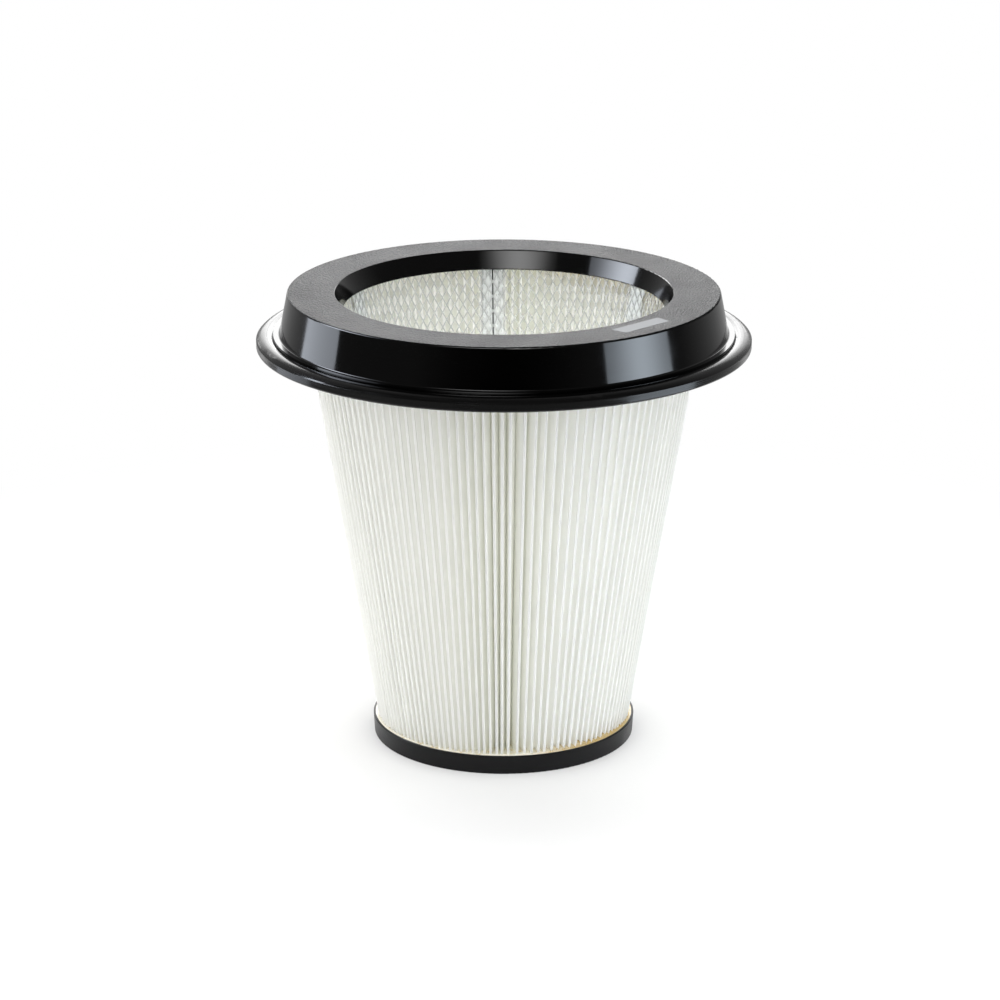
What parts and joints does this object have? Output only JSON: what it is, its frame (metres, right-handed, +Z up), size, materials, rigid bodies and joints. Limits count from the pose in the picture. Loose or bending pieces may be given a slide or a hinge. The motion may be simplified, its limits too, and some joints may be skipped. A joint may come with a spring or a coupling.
{
  "type": "conical pre-filter",
  "caption": "Tapered pleated filter on an expanded metal cone, open at a black flanged ring above and closed by a shallow black cap below.",
  "frame": {"origin": "centre of the bottom cap's underside, on the cone's axis", "axes": "+Z up along the cone's axis to the open ring, -Y towards the sheet's seam"},
  "size_m": [0.362, 0.362, 0.34],
  "materials": {
    "ring_black": "gloss walls, fine matt grain on the top face",
    "cap_black": "satin",
    "filter_sheet": "matt felted polyester",
    "galvanised_mesh": "galvanised",
    "galvanised_strip": "smooth galvanised",
    "adhesive": "cured amber resin"
  },
  "bodies": {
    "root": {"bottom_cap": "cap_black", "bottom_potting": "adhesive", "pleated_media": "filter_sheet", "seam_strip": "galvanised_strip", "support_mesh": "galvanised_mesh", "support_strip_1": "galvanised_strip", "support_strip_2": "galvanised_strip", "support_strip_3": "galvanised_strip", "support_strip_4": "galvanised_strip", "support_strip_5": "galvanised_strip", "top_potting": "adhesive", "top_ring": "ring_black"}
  },
  "joints": []
}
